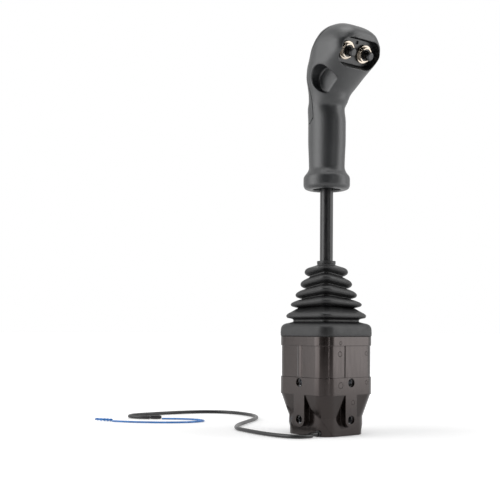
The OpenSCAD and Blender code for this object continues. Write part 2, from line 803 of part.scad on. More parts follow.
module plunger(side) {
    top = bushing_h - collar_drop + plunger_h;
    shaft = plunger_h + 4;
    on_button(side, top - shaft) {
        cylinder(d = plunger_d, h = shaft - 2);
        translate([0, 0, shaft - 2]) rotate_extrude() intersection() {
            translate([plunger_d / 2 - 2, 0]) circle(2);
            square([plunger_d, 4]);
        }
        cylinder(r = plunger_d / 2 - 2, h = shaft);
    }
}
module plunger_left() color("#1a1a1a") plunger(1);
module plunger_right() color("#1a1a1a") plunger(-1);

// ---- gaiter

// Height, half-diagonal and corner radius of each fold, from the foot up
gaiter_folds = [
    [housing_h, 44.8, 13.4], [housing_h + 1.4, 45.5, 13.6], [housing_h + 8, 45.1, 13.4],
    [housing_h + 10.6, 43.9, 12.8], [housing_h + 12.6, 41, 11.6], [housing_h + 13.6, 36.6, 8.6],
    [housing_h + 14.8, 32.8, 6], [113.2, 32.8, 6], [114.4, 34.6, 7.4], [115.2, 38.8, 10], [117.2, 39.9, 10.4],
    [119.2, 38.6, 10], [121.2, 35, 8.8], [125.2, 27.9, 5.8], [126, 31.6, 8.4], [127, 34.6, 9.4],
    [128.6, 35.5, 9.8], [130.2, 34.2, 9.4], [132.2, 29.6, 7.6], [134.3, 23.9, 5.6], [135.2, 27.2, 7.6],
    [136.4, 30, 8.8], [138, 30.7, 9.2], [139.6, 29.8, 8.8], [141.5, 27, 7.8], [144.7, 19.8, 5.4],
    [146, 23.4, 7.2], [147.2, 25.2, 8], [148.7, 25.8, 8.4], [150.6, 25, 8], [152.6, 22.4, 7], [156.5, 16.2, 5.2],
    [158.2, 19.6, 6.6], [159.6, 21.3, 7.4], [161, 21.7, 7.6], [163, 21, 7.4], [165, 18.6, 7.2], [167, 12.6, 7.2],
    [168.4, 9, 8.2], [170, 9.3, 8.8], [gaiter_top, 9.3, 8.8]
];

function smooth(t) = let (u = max(0, min(1, t))) u * u * (3 - 2 * u);
function lean_at(z) = gaiter_lean * smooth((z - 112) / 38) * (1 - smooth((z - 160) / 7));

function gaiter_ring(fold, inset, per_corner) =
    let (
        hd = fold[1], r0 = min(fold[2], hd - 0.01), s = (hd + r0 * (sqrt(2) - 1)) / sqrt(2) - inset,
        r = max(r0 - inset, 0.6), rise = tan(lean_at(fold[0]))
    )
    [for (q = [0:3], k = [0:per_corner - 1])
        let (
            a = q * 90 + 90 * k / (per_corner - 1),
            cx = (s - r) * (q == 0 || q == 3 ? 1 : -1), cy = (s - r) * (q < 2 ? 1 : -1),
            x = cx + r * cos(a), y = cy + r * sin(a)
        )
        [x, y, fold[0] + rise * (x - y) / sqrt(2)]];

module gaiter() color("#101010") {
    per_corner = 5;
    sides = 4 * per_corner;
    n = len(gaiter_folds);
    outer = [for (f = gaiter_folds) each gaiter_ring(f, 0, per_corner)];
    inner = [for (i = [n - 1:-1:0]) each gaiter_ring(gaiter_folds[i], gaiter_t, per_corner)];
    walls = [for (i = [0:2 * n - 1], j = [0:sides - 1])
        let (k = (i + 1) % (2 * n))
        [i * sides + j, i * sides + (j + 1) % sides, k * sides + (j + 1) % sides, k * sides + j]];
    polyhedron(concat(outer, inner), walls, convexity = 10);
}

// ---- cord and leads

module cord_grommet() color("#101010") {
    translate([cord_exit[0], cord_exit[1], cord_axis_z]) rotate([90, 0, 0]) {
        translate([0, 0, -wall + 0.3]) ring(grommet_r - 0.62, cord_d / 2 + seat_fit, wall - 0.3 + seat_fit);
        translate([0, 0, seat_fit]) ring(grommet_r, cord_d / 2 + seat_fit, grommet_flange);
    }
}

function on_floor(p, z) = [
    p[0] * cos(cord_heading) + p[1] * sin(cord_heading), p[0] * sin(cord_heading) - p[1] * cos(cord_heading), z
];

module cord_sleeve() color("#0d0d0e") {
    r = cord_d / 2;
    start = [
        [cord_exit[0], cord_exit[1] + 2.6, cord_axis_z], [cord_exit[0], cord_exit[1] - 4, cord_axis_z - 0.1],
        [cord_exit[0] - 0.5, cord_exit[1] - 12, r + 0.4]
    ];
    path = curve(concat(start, [for (p = cord_route) on_floor(p, r + 0.05)]), 3);
    swept_tube(path, r, 8);
}

// Sleeve that joins the cord to the two leads
module heat_shrink() color("#0d0d0e") {
    a = on_floor(cord_route[len(cord_route) - 1], shrink_d / 2 + 0.05);
    b = on_floor(lead_route[0], shrink_d / 2 + 0.05);
    along = unit(b - a);
    hull() {
        translate(a + 0.6 * along) rotate([0, 90, atan2(along[1], along[0])]) cylinder(d = shrink_d, h = 0.5, $fn = 16);
        translate(b - 0.6 * along) rotate([0, 90, atan2(along[1], along[0])]) cylinder(d = shrink_d, h = 0.5, $fn = 16);
    }
}

module lead(side) {
    n = len(lead_route);
    beside = [for (i = [0:n - 1])
        let (
            d = unit(lead_route[min(i + 1, n - 1)] - lead_route[max(i - 1, 0)]),
            wide = lead_spread + 0.9 * sin(180 * i / (n - 1))
        )
        lead_route[i] + side * wide * [-d[1], d[0]]];
    swept_tube(curve([for (p = beside) on_floor(p, lead_d / 2 + 0.05)], 2), lead_d / 2, 8);
}
module lead_left() color("#2a6cb4") lead(1);
module lead_right() color("#2a6cb4") lead(-1);

module lead_splice() color("#2a6cb4") {
    swept_tube([for (p = splice_route) on_floor(p, 1.75)], 1.7, 8);
}

lower_housing();
upper_housing();
cable_plate();
plate_screws();
housing_screws();
thread_inserts();
mount_inserts();
pivot_bracket();
bracket_bushes();
rod_bushes();
gaiter();
spring_x_upper();
spring_x_lower();
spring_y_upper();
spring_y_lower();
cord_grommet();
cord_sleeve();
heat_shrink();
lead_left();
lead_right();
lead_splice();
pivot_cross();
push_rod_x();
push_rod_y();
lever_fork();
fork_bushes();
drive_pins();
lever_tube();
tube_pin();
rod_sleeve();
jam_nut();
grip_shell();
rear_cover();
cover_screws();
button_panel();
panel_screw();
button_nuts();
bushing_left();
bushing_right();
switch_left();
switch_right();
plunger_left();
plunger_right();
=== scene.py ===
import math

import bpy
import bmesh
from mathutils import Matrix, Vector


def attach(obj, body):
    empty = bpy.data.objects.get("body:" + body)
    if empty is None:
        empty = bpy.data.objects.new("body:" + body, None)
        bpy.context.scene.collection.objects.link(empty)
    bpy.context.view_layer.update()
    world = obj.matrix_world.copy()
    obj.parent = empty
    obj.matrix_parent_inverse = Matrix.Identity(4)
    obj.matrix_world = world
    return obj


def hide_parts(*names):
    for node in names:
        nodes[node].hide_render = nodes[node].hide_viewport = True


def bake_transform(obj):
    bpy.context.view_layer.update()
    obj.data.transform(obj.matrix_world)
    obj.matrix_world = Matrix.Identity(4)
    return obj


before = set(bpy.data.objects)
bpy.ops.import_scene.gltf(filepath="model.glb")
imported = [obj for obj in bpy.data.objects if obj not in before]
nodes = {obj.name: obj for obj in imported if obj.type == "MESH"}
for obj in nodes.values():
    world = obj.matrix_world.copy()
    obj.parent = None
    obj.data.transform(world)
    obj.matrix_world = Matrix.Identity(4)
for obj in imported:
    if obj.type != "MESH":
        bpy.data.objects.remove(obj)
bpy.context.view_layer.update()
mm = 0.001

# degrees and millimetres, seen from the foot of the joystick; lens and shift as Blender has them
cameraView = {"azimuth": 50.8, "distance": 970, "aside": 76.0, "height": 105.9, "lens": 69.84,
              "shift": 0.154, "roll": 0.27}


def makeCamera(v):
    turn = math.radians(v["azimuth"])
    ahead = Vector((-math.sin(turn), math.cos(turn), 0))
    right = Vector((math.cos(turn), math.sin(turn), 0))
    data = bpy.data.cameras.new("camera")
    data.lens = v["lens"]
    data.sensor_width = 36
    data.shift_y = v["shift"]
    data.clip_start = 0.01
    camera = bpy.data.objects.new("camera", data)
    bpy.context.scene.collection.objects.link(camera)
    place = (-v["aside"] * right - v["distance"] * ahead) * mm
    place.z = v["height"] * mm
    camera.matrix_world = (Matrix.Translation(place) @ Matrix.Rotation(turn, 4, "Z")
                           @ Matrix.Rotation(math.pi / 2, 4, "X")
                           @ Matrix.Rotation(math.radians(v["roll"]), 4, "Z"))
    bpy.context.scene.camera = camera


makeCamera(cameraView)
print("camera placed")


def hexColour(text):
    # an sRGB colour such as "#1c62a8", made linear
    parts = [int(text[i:i + 2], 16) / 255 for i in (1, 3, 5)]
    return [c / 12.92 if c <= 0.04045 else ((c + 0.055) / 1.055) ** 2.4 for c in parts] + [1]


def addNode(tree, kind, values=None, links=None, stops=None, **settings):
    # a link starts at a socket, or at the first output of a node; stops are the two ends of a ramp
    node = tree.nodes.new("ShaderNode" + kind)
    for name, value in settings.items():
        setattr(node, name, value)
    for name, value in (values or {}).items():
        node.inputs[name].default_value = value
    for name, source in (links or {}).items():
        socket = source.outputs[0] if isinstance(source, bpy.types.Node) else source
        tree.links.new(socket, node.inputs[name])
    if stops:
        for point, (place, colour) in zip(node.color_ramp.elements, stops):
            point.position = place
            point.color = hexColour(colour) if isinstance(colour, str) else [colour, colour, colour, 1]
    return node


def startMaterial(name):
    material = bpy.data.materials.new(name)
    material.use_nodes = True
    tree = material.node_tree
    tree.nodes.clear()
    return material, tree, addNode(tree, "TexCoord").outputs["Object"]


def endMaterial(material, values, colour, rough, normal):
    tree = material.node_tree
    shader = addNode(tree, "BsdfPrincipled", values,
                     {"Base Color": colour, "Roughness": rough, "Normal": normal})
    addNode(tree, "OutputMaterial", links={"Surface": shader})
    return material


# marks of the mould's ejector pins on the +X face, in millimetres
pinMarks = {
    "halfWidth": 0.35, "face": 25,
    # across, up, radius of the raised ring
    "rings": [(-14.6, 90.7, 1.5), (-14.6, 80.1, 2.4), (-14.2, 50, 2.9),
              (21, 80.5, 1.8), (21, 52, 1.8), (2.5, 33, 2.2)],
}


def ringMarks(tree, place, s):
    # 1 on thin raised rings, and 0 behind the face that looks along +X
    split = addNode(tree, "SeparateXYZ", links={"Vector": place})
    flat = addNode(tree, "CombineXYZ", links={"Y": split.outputs["Y"], "Z": split.outputs["Z"]})
    total = addNode(tree, "Math", {0: 0, 1: 0}, operation="ADD")
    for across, up, radius in s["rings"]:
        away = addNode(tree, "VectorMath", {1: Vector((0, across, up)) * mm}, {0: flat},
                       operation="DISTANCE")
        near = addNode(tree, "Math", {1: radius * mm, 2: s["halfWidth"] * mm},
                       {0: away.outputs["Value"]}, operation="COMPARE")
        total = addNode(tree, "Math", links={0: total, 1: near}, operation="ADD")
    front = addNode(tree, "Math", {1: s["face"] * mm}, {0: split.outputs["X"]},
                    operation="GREATER_THAN")
    return addNode(tree, "Math", links={0: total, 1: front}, operation="MULTIPLY")


def glassFilledNylon():
    # injection-moulded black polyamide with glass fibre: glossy, faintly brown, slight flow ripple
    material, tree, place = startMaterial("glassFilledNylon")
    marks = ringMarks(tree, place, pinMarks)
    stretched = addNode(tree, "Mapping", {"Scale": (1, 1, 0.12)}, {"Vector": place})
    flow = addNode(tree, "TexNoise", {"Scale": 1000 / 3.2, "Detail": 3}, {"Vector": stretched})
    blotch = addNode(tree, "TexNoise", {"Scale": 1000 / 16, "Detail": 3}, {"Vector": place})
    colour = addNode(tree, "ValToRGB", links={"Fac": blotch}, stops=[(0.3, "#0e0b0a"), (0.7, "#16110e")])
    gloss = addNode(tree, "ValToRGB", links={"Fac": flow}, stops=[(0.3, 0.14), (0.7, 0.24)])
    worn = addNode(tree, "Math", {1: 0.35}, {0: marks, 2: gloss}, operation="MULTIPLY_ADD")
    edges = addNode(tree, "Bevel", {"Radius": 0.6 * mm}, samples=6)
    ripple = addNode(tree, "Bump", {"Distance": 0.02 * mm}, {"Height": flow, "Normal": edges})
    raised = addNode(tree, "Bump", {"Distance": 0.3 * mm}, {"Height": marks, "Normal": ripple})
    surface = {"IOR": 1.53, "Specular Tint": hexColour("#fff0ed")}
    return endMaterial(material, surface, colour, worn, raised)


def sparkedNylon():
    # moulded charcoal polyamide, spark-eroded grain: matte, soft broad highlights
    material, tree, place = startMaterial("sparkedNylon")
    grain = addNode(tree, "TexNoise", {"Scale": 1000 / 0.55, "Detail": 2, "Roughness": 0.6},
                    {"Vector": place})
    wear = addNode(tree, "TexNoise", {"Scale": 1000 / 22, "Detail": 3}, {"Vector": place})
    colour = addNode(tree, "ValToRGB", links={"Fac": wear}, stops=[(0.3, "#16181a"), (0.7, "#1c1e20")])
    rough = addNode(tree, "ValToRGB", links={"Fac": grain}, stops=[(0.3, 0.38), (0.7, 0.5)])
    pits = addNode(tree, "Bump", {"Distance": 0.07 * mm}, {"Height": grain})
    return endMaterial(material, {"IOR": 1.68}, colour, rough, pits)


def gaiterRubber():
    # moulded chloroprene rubber: dull black with a light bloom
    material, tree, place = startMaterial("gaiterRubber")
    bloom = addNode(tree, "TexNoise", {"Scale": 1000 / 9, "Detail": 4, "Roughness": 0.6},
                    {"Vector": place})
    grain = addNode(tree, "TexNoise", {"Scale": 1000 / 0.7, "Detail": 2}, {"Vector": place})
    colour = addNode(tree, "ValToRGB", links={"Fac": bloom}, stops=[(0.35, "#111112"), (0.7, "#1a1a1b")])
    rough = addNode(tree, "ValToRGB", links={"Fac": bloom}, stops=[(0.3, 0.42), (0.7, 0.56)])
    pits = addNode(tree, "Bump", {"Distance": 0.03 * mm}, {"Height": grain})
    return endMaterial(material, {"IOR": 1.5}, colour, rough, pits)


def chromePlate(name, threadMm=0, axis=(0, 0, 1)):
    # bright chromium plate: near mirror, faint wipe marks, and a cut thread along the axis if it has one
    material, tree, place = startMaterial(name)
    wipe = addNode(tree, "TexNoise", {"Scale": 1000 / 4, "Detail": 3}, {"Vector": place})
    colour = addNode(tree, "ValToRGB", links={"Fac": wipe}, stops=[(0.3, "#8f867b"), (0.7, "#a39b90")])
    rough = addNode(tree, "ValToRGB", links={"Fac": wipe}, stops=[(0.3, 0.04), (0.7, 0.1)])
    normal = addNode(tree, "Bevel", {"Radius": 0.3 * mm}, samples=6)
    if threadMm:
        along = addNode(tree, "VectorMath", {1: Vector(axis) * 2 * math.pi / threadMm / mm}, {0: place},
                        operation="DOT_PRODUCT")
        wave = addNode(tree, "Math", links={0: along.outputs["Value"]}, operation="SINE")
        normal = addNode(tree, "Bump", {"Distance": 0.3 * mm}, {"Height": wave, "Normal": normal})
    return endMaterial(material, {"Metallic": 1}, colour, rough, normal)


def zincSteel():
    # zinc-plated steel: grey, satin, with a fine mottle
    material, tree, place = startMaterial("zincSteel")
    mottle = addNode(tree, "TexNoise", {"Scale": 1000 / 1.4, "Detail": 3}, {"Vector": place})
    colour = addNode(tree, "ValToRGB", links={"Fac": mottle}, stops=[(0.3, "#9b9da0"), (0.7, "#babcbf")])
    rough = addNode(tree, "ValToRGB", links={"Fac": mottle}, stops=[(0.3, 0.26), (0.7, 0.42)])
    edges = addNode(tree, "Bevel", {"Radius": 0.2 * mm}, samples=6)
    pits = addNode(tree, "Bump", {"Distance": 0.01 * mm}, {"Height": mottle, "Normal": edges})
    return endMaterial(material, {"Metallic": 1}, colour, rough, pits)


def blackOxide():
    # blackened steel screws: oily black, satin
    material, tree, place = startMaterial("blackOxide")
    film = addNode(tree, "TexNoise", {"Scale": 1000 / 1.2, "Detail": 3}, {"Vector": place})
    colour = addNode(tree, "ValToRGB", links={"Fac": film}, stops=[(0.3, "#1d1d1f"), (0.7, "#2c2c2e")])
    rough = addNode(tree, "ValToRGB", links={"Fac": film}, stops=[(0.3, 0.34), (0.7, 0.5)])
    edges = addNode(tree, "Bevel", {"Radius": 0.2 * mm}, samples=6)
    return endMaterial(material, {"Metallic": 1}, colour, rough, edges)


def sinteredBronze():
    # oiled sintered bronze: warm brown, pored
    material, tree, place = startMaterial("sinteredBronze")
    pores = addNode(tree, "TexNoise", {"Scale": 1000 / 0.5, "Detail": 2}, {"Vector": place})
    colour = addNode(tree, "ValToRGB", links={"Fac": pores}, stops=[(0.3, "#7d5b36"), (0.7, "#a67c4c")])
    rough = addNode(tree, "ValToRGB", links={"Fac": pores}, stops=[(0.3, 0.5), (0.7, 0.3)])
    pits = addNode(tree, "Bump", {"Distance": 0.02 * mm}, {"Height": pores})
    return endMaterial(material, {"Metallic": 1}, colour, rough, pits)


def satinAbs():
    # moulded black ABS: satin with soft edges
    material, tree, place = startMaterial("satinAbs")
    grain = addNode(tree, "TexNoise", {"Scale": 1000 / 1.1, "Detail": 3}, {"Vector": place})
    colour = addNode(tree, "ValToRGB", links={"Fac": grain}, stops=[(0.3, "#141415"), (0.7, "#1c1c1e")])
    rough = addNode(tree, "ValToRGB", links={"Fac": grain}, stops=[(0.3, 0.28), (0.7, 0.4)])
    edges = addNode(tree, "Bevel", {"Radius": 0.4 * mm}, samples=6)
    pits = addNode(tree, "Bump", {"Distance": 0.01 * mm}, {"Height": grain, "Normal": edges})
    return endMaterial(material, {"IOR": 1.54}, colour, rough, pits)


def smoothPvc(name, low, high, gloss):
    # smooth extruded PVC: even colour, slight waviness along it
    material, tree, place = startMaterial(name)
    wave = addNode(tree, "TexNoise", {"Scale": 1000 / 6, "Detail": 3}, {"Vector": place})
    colour = addNode(tree, "ValToRGB", links={"Fac": wave}, stops=[(0.3, low), (0.7, high)])
    rough = addNode(tree, "ValToRGB", links={"Fac": wave}, stops=[(0.3, gloss), (0.7, gloss + 0.1)])
    swell = addNode(tree, "Bump", {"Distance": 0.05 * mm}, {"Height": wave})
    return endMaterial(material, {"IOR": 1.52}, colour, rough, swell)


def paint(material, *names):
    for name in names:
        mesh = nodes[name].data
        mesh.materials.clear()
        mesh.materials.append(material)


panelLean = 26  # degrees that the button panel leans over from upright
panelTurn = math.radians(90 + panelLean)
panelNormal = (math.sin(panelTurn), 0, math.cos(panelTurn))

housingFinish = glassFilledNylon()
gripFinish = sparkedNylon()
gaiterFinish = gaiterRubber()
chromeFinish = chromePlate("chromePlate")
threadFinish = chromePlate("chromeThread", 1.0, panelNormal)
steelFinish = zincSteel()
blackFinish = blackOxide()
bronzeFinish = sinteredBronze()
buttonFinish = satinAbs()
cordFinish = smoothPvc("cordPvc", "#070708", "#0d0d0e", 0.3)
leadFinish = smoothPvc("leadPvc", "#1c62a8", "#2a7cc6", 0.34)
sleeveFinish = smoothPvc("sleevePvc", "#101011", "#171718", 0.3)

paint(housingFinish, "lower_housing", "upper_housing")
paint(buttonFinish, "button_panel", "cable_plate", "switch_left", "switch_right", "plunger_left",
      "plunger_right")
paint(gaiterFinish, "gaiter", "cord_grommet")
paint(chromeFinish, "button_nuts")
paint(threadFinish, "bushing_left", "bushing_right")
paint(steelFinish, "plate_screws", "housing_screws", "mount_inserts", "pivot_bracket", "spring_x_upper",
      "spring_x_lower", "spring_y_upper", "spring_y_lower", "pivot_cross", "push_rod_x", "push_rod_y",
      "lever_fork", "drive_pins", "lever_tube", "tube_pin", "jam_nut")
paint(blackFinish, "cover_screws", "panel_screw")
paint(bronzeFinish, "thread_inserts", "bracket_bushes", "rod_bushes", "fork_bushes")
paint(sleeveFinish, "rod_sleeve")
paint(cordFinish, "cord_sleeve", "heat_shrink")
paint(leadFinish, "lead_left", "lead_right", "lead_splice")
print("materials made")


def finish(name, work, material, body=None, smooth=False):
    # a piece from the bmesh, which rides on the body if one is given
    bmesh.ops.remove_doubles(work, verts=work.verts, dist=1e-6)
    bmesh.ops.recalc_face_normals(work, faces=work.faces)
    mesh = bpy.data.meshes.new(name)
    work.to_mesh(mesh)
    work.free()
    mesh.materials.append(material)
    if smooth:
        mesh.shade_smooth()
    piece = bpy.data.objects.new(name, mesh)
    bpy.context.scene.collection.objects.link(piece)
    if body:
        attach(piece, body)
    return piece


# millimetres; a route's points are right of the joystick's foot and in front of it, along the heading
cordSizes = {
    "heading": 50.8, "exit": (20, -29, 3.2), "cord": 4.1, "lead": 1.7, "shrink": 5.0, "clear": 0.05,
    "route": [(-17, 43), (-29, 50), (-43, 44), (-60, 26), (-78, -2), (-89, -27), (-88, -57),
              (-80, -90), (-71, -122), (-68, -147), (-73, -172), (-87, -196), (-104, -211),
              (-123, -216), (-140, -214), (-165, -202), (-190, -185), (-208, -170), (-215, -157),
              (-212, -147), (-202, -140), (-190, -137.5)],
    # along the shrink sleeve, and its width there against the cord's
    "shrinkShape": [(0.06, 1.09), (0.16, 1.18), (0.5, 1.22), (0.84, 1.14), (0.95, 0.98), (1.0, 0.8)],
    # the leads lie this far to each side of their route, at the ends and more in the middle
    "spread": 1.0, "belly": 0.9,
    "leads": [(-176, -137), (-158, -136), (-142, -132), (-132, -123), (-129, -114), (-134, -104),
              (-147, -97), (-165, -94), (-180, -94), (-205, -98), (-228, -107)],
    "splice": [(-229, -107.6), (-235, -111), (-242, -115), (-249, -120)],
    "spliceHeight": 1.75, "twists": 2.6, "twistWidth": 0.85, "twistTaper": 0.5,
}


def onFloor(point, height):
    turn = math.radians(cordSizes["heading"])
    x, y = point
    return Vector((x * math.cos(turn) + y * math.sin(turn), x * math.sin(turn) - y * math.cos(turn),
                   height))


def smoothRoute(points, steps):
    # one smooth curve through the points
    found = []
    for i in range(len(points) - 1):
        a, b = points[max(i - 1, 0)], points[i]
        c, d = points[i + 1], points[min(i + 2, len(points) - 1)]
        for k in range(steps):
            t = k / steps
            found.append(0.5 * (2 * b + (c - a) * t + (2 * a - 5 * b + 4 * c - d) * t ** 2
                                + (3 * b - a - 3 * c + d) * t ** 3))
    return found + [points[-1]]


def routeLength(points):
    return sum((b - a).length for a, b in zip(points, points[1:])) * mm


def roundCurve(name, points, width, material):
    data = bpy.data.curves.new(name, "CURVE")
    data.dimensions = "3D"
    data.bevel_depth = width / 2 * mm
    data.bevel_resolution = 5
    data.use_fill_caps = True
    spline = data.splines.new("POLY")
    spline.points.add(len(points) - 1)
    for point, place in zip(spline.points, points):
        point.co = (*(place * mm), 1)
    spline.use_smooth = True
    data.materials.append(material)
    piece = bpy.data.objects.new(name, data)
    bpy.context.scene.collection.objects.link(piece)
    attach(piece, "base")
    return piece


def shrinkSleeve(a, b, s):
    # a short shrunk sleeve: full in the middle, drawn in at both ends
    along = b - a
    work = bmesh.new()
    bmesh.ops.create_circle(work, segments=24, radius=s["cord"] / 2 * 0.98 * mm)
    edges = list(work.edges)
    length = along.length * mm
    before, size = 0.0, 1.0
    for t, wider in s["shrinkShape"]:
        made = bmesh.ops.extrude_edge_only(work, edges=edges)["geom"]
        verts = [v for v in made if isinstance(v, bmesh.types.BMVert)]
        edges = [e for e in made if isinstance(e, bmesh.types.BMEdge)]
        bmesh.ops.translate(work, verts=verts, vec=(0, 0, (t - before) * length))
        bmesh.ops.scale(work, verts=verts, vec=(wider / size, wider / size, 1))
        before, size = t, wider
    bmesh.ops.holes_fill(work, edges=work.edges)
    turn = along.to_track_quat("Z", "Y").to_matrix().to_4x4()
    bmesh.ops.transform(work, verts=work.verts, matrix=Matrix.Translation(a * mm) @ turn)
    return finish("shrinkSleeve", work, cordFinish, "base", smooth=True)


def twistedEnd(s):
    # the bare ends of the leads, twisted round each other
    middle = smoothRoute([onFloor(p, s["spliceHeight"]) for p in s["splice"]], 12)
    path = []
    last = len(middle) - 1
    for i, p in enumerate(middle):
        along = (middle[min(i + 1, last)] - middle[max(i - 1, 0)]).normalized()
        side = along.cross(Vector((0, 0, 1))).normalized()
        up = side.cross(along)
        a = 2 * math.pi * s["twists"] * i / last
        wide = s["twistWidth"] * (1 - s["twistTaper"] * (i / last) ** 3)
        path.append((p, side, up, a, wide))
    strands = []
    for name, turn in (("twistOne", 0), ("twistTwo", math.pi)):
        points = [p + wide * (math.cos(a + turn) * side + math.sin(a + turn) * up)
                  for p, side, up, a, wide in path]
        strands.append(roundCurve(name, points, s["lead"], leadFinish))
    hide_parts("lead_splice")
    strands[1].parent = strands[0]
    return strands[0]


def makeCords(s):
    x, y, z = s["exit"]
    r = s["cord"] / 2
    # straight out of the grommet, then down to the floor
    start = [Vector((x, y + 2.6, z)), Vector((x, y - 4, z - 0.1)), Vector((x - 0.5, y - 12, r + 0.4))]
    path = smoothRoute(start + [onFloor(p, r + s["clear"]) for p in s["route"]], 8)
    cord = roundCurve("cordSheath", path, s["cord"], cordFinish)
    a = onFloor(s["route"][-1], s["shrink"] / 2 + s["clear"])
    b = onFloor(s["leads"][0], s["shrink"] / 2 + s["clear"])
    along = (b - a).normalized()
    shrink = shrinkSleeve(a + 0.6 * along, b - 0.6 * along, s)
    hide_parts("cord_sleeve")
    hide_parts("heat_shrink")
    print("cord length", round(routeLength(path), 4))
    leads = []
    for side, name, node in ((1, "leadLeft", "lead_left"), (-1, "leadRight", "lead_right")):
        beside = []
        last = len(s["leads"]) - 1
        for i, p in enumerate(s["leads"]):
            d = Vector(s["leads"][min(i + 1, last)]) - Vector(s["leads"][max(i - 1, 0)])
            d.normalize()
            wide = (s["spread"] + s["belly"] * math.sin(math.pi * i / last)) * side
            beside.append(onFloor((p[0] - wide * d.y, p[1] + wide * d.x), s["lead"] / 2 + s["clear"]))
        path = smoothRoute(beside, 6)
        lead = roundCurve(name, path, s["lead"], leadFinish)
        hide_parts(node)
        leads.append((lead, path))
    # the twist of the bare ends is made here as well
    for (lead, path), onIt in zip(leads, ([twistedEnd(s)], [])):
        print("lead length", round(routeLength(path), 4))


makeCords(cordSizes)
print("cord and leads made")

# a square skirt that turns into round folds, in two pieces, because it crosses two joints
gaiterSizes = {
    "wall": 1.1, "split": 125.2, "corner": 9, "side": 4, "steps": 3,
    # degrees that the folds lean, the height where that starts and how fast it grows, and so for its end
    "lean": 13, "leanFrom": 112, "leanOver": 38, "levelFrom": 160, "levelOver": 7,
    # metres below and above the split, put with each half; nothing here bends the gaiter with them
    "bendBelow": 0.015, "bendAbove": 0.043,
    # height, half-diagonal and corner radius of each fold
    "folds": [(96.8, 44.8, 13.4), (98.2, 45.5, 13.6), (104.8, 45.1, 13.4), (107.4, 43.9, 12.8),
              (109.4, 41, 11.6), (110.4, 36.6, 8.6), (111.6, 32.8, 6), (113.2, 32.8, 6),
              (114.4, 34.6, 7.4), (115.2, 38.8, 10), (117.2, 39.9, 10.4), (119.2, 38.6, 10),
              (121.2, 35, 8.8), (125.2, 27.9, 5.8), (126, 31.6, 8.4), (127, 34.6, 9.4),
              (128.6, 35.5, 9.8), (130.2, 34.2, 9.4), (132.2, 29.6, 7.6), (134.3, 23.9, 5.6),
              (135.2, 27.2, 7.6), (136.4, 30, 8.8), (138, 30.7, 9.2), (139.6, 29.8, 8.8),
              (141.5, 27, 7.8), (144.7, 19.8, 5.4), (146, 23.4, 7.2), (147.2, 25.2, 8),
              (148.7, 25.8, 8.4), (150.6, 25, 8), (152.6, 22.4, 7), (156.5, 16.2, 5.2),
              (158.2, 19.6, 6.6), (159.6, 21.3, 7.4), (161, 21.7, 7.6), (163, 21, 7.4),
              (165, 18.6, 7.2), (167, 12.6, 7.2), (168.4, 9, 8.2), (170, 9.3, 8.8), (172, 9.3, 8.8)],
}


def smoothStep(t):
    t = min(max(t, 0), 1)
    return t * t * (3 - 2 * t)


def refined(rows, steps):
    # rows of numbers, the first one rising: more rows between them, on a curve that never overshoots
    found = []
    rates = []
    for a, b in zip(rows, rows[1:]):
        rates.append([(q - p) / (b[0] - a[0]) for p, q in zip(a, b)])
    slopes = []
    for i in range(len(rows)):
        before, after = rates[max(i - 1, 0)], rates[min(i, len(rates) - 1)]
        slopes.append([2 * p * q / (p + q) if p * q > 0 else 0 for p, q in zip(before, after)])
    for i, (a, b) in enumerate(zip(rows, rows[1:])):
        wide = b[0] - a[0]
        for k in range(steps):
            t = k / steps
            found.append([p * (1 + 2 * t) * (1 - t) ** 2 + q * t * t * (3 - 2 * t)
                          + wide * t * (1 - t) * (u * (1 - t) - v * t)
                          for p, q, u, v in zip(a, b, slopes[i], slopes[i + 1])])
    return found + [list(rows[-1])]


def loft(rings, capped=True):
    # closed rings with the same number of points, joined one after the other
    work = bmesh.new()
    order = work.verts.layers.int.new("order")
    made = bmesh.ops.create_circle(work, segments=len(rings[0]), radius=1)["verts"]
    for i, (v, place) in enumerate(zip(made, rings[0])):
        v[order] = i
        v.co = place
    first = edges = list(work.edges)
    for ring in rings[1:]:
        made = bmesh.ops.extrude_edge_only(work, edges=edges)["geom"]
        edges = [e for e in made if isinstance(e, bmesh.types.BMEdge)]
        for v in made:
            if isinstance(v, bmesh.types.BMVert):
                v.co = ring[v[order]]
    if capped:
        bmesh.ops.edgeloop_fill(work, edges=first)
        bmesh.ops.edgeloop_fill(work, edges=edges)
    return work


def roundedSquare(wide, high, r, perCorner, perSide):
    # points round a rounded rectangle, in order
    places = []
    for corner, (sx, sy) in enumerate(((1, 1), (-1, 1), (-1, -1), (1, -1))):
        for k in range(perCorner):
            a = math.pi / 2 * (corner + k / (perCorner - 1))
            places.append(((wide / 2 - r) * sx + r * math.cos(a), (high / 2 - r) * sy + r * math.sin(a)))
        x, y = places[-1]
        far = (-(wide / 2 - r) if corner == 0 else wide / 2 - r if corner == 2 else x,
               -(high / 2 - r) if corner == 1 else high / 2 - r if corner == 3 else y)
        for k in range(1, perSide):
            places.append((x + (far[0] - x) * k / perSide, y + (far[1] - y) * k / perSide))
    return places


def foldLean(s, z):
    leant = smoothStep((z - s["leanFrom"]) / s["leanOver"])
    level = smoothStep((z - s["levelFrom"]) / s["levelOver"])
    return math.radians(s["lean"] * leant * (1 - level))


def foldRing(s, fold):
    z, reach, r = fold
    r = min(r, reach - 0.01)
    wide = (reach + r * (math.sqrt(2) - 1)) * math.sqrt(2)
    lean = foldLean(s, z)
    return [Vector((x, y, z + math.tan(lean) * (x - y) / math.sqrt(2))) * mm
            for x, y in roundedSquare(wide, wide, r, s["corner"], s["side"])]


